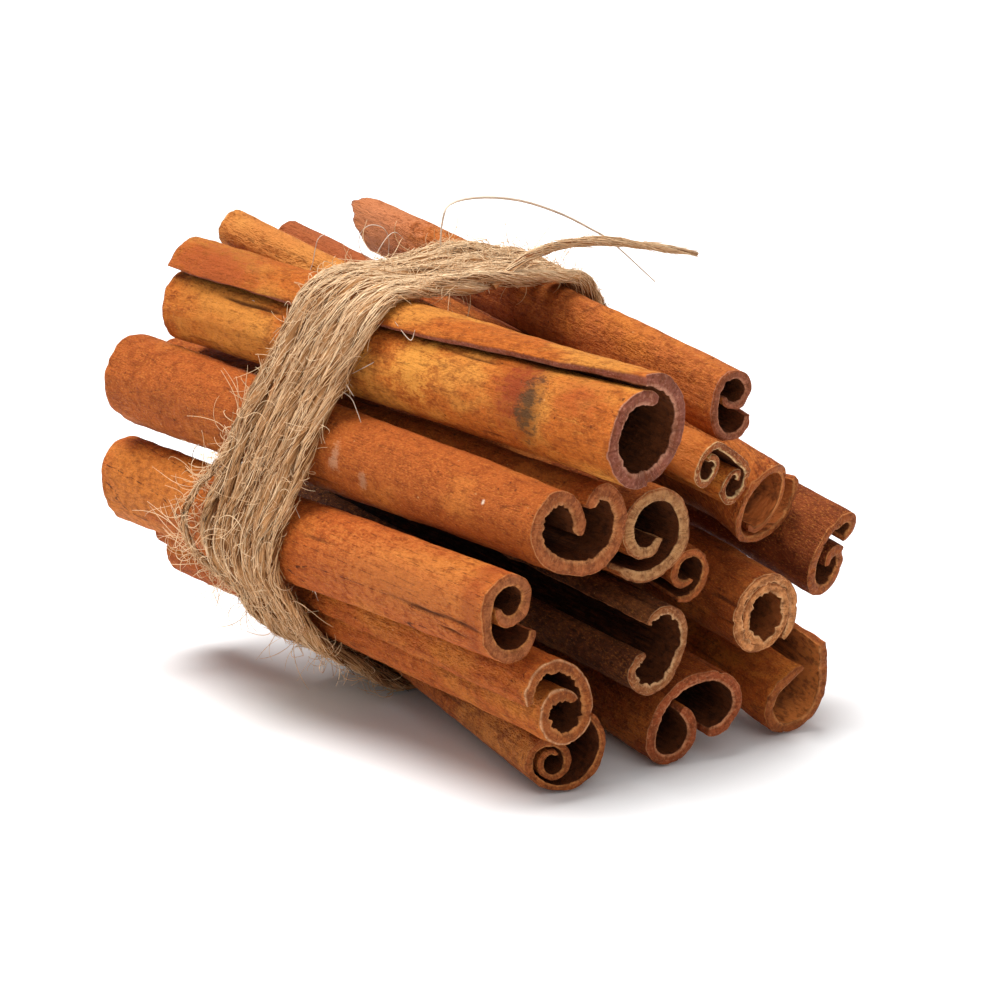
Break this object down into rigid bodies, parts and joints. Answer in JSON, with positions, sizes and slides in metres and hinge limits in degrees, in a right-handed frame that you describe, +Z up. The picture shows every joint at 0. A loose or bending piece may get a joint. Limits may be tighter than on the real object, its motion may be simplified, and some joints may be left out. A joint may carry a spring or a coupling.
{
  "type": "tied bundle of cinnamon sticks",
  "caption": "Bundle of rolled cinnamon bark sticks tied round the middle with jute twine, one twine end free.",
  "frame": {"origin": "under the middle of the bundle, on the surface it lies on; the free end of the twine isn't counted", "axes": "+X along the sticks towards the face of the bundle, +Y to its right, +Z up"},
  "size_m": [0.0902, 0.0646, 0.0584],
  "materials": {
    "bark": "dry rough bark, paler at the cut ends",
    "twine": "hairy natural jute"
  },
  "bodies": {
    "root": {"stick_01": "bark", "stick_02": "bark", "stick_03": "bark", "stick_04": "bark", "stick_05": "bark", "stick_06": "bark", "stick_07": "bark", "stick_08": "bark", "stick_09": "bark", "stick_10": "bark", "stick_11": "bark", "stick_12": "bark", "stick_13": "bark", "stick_14": "bark", "stick_15": "bark", "twine_wrap": "twine", "twine_end": "twine"}
  },
  "joints": []
}
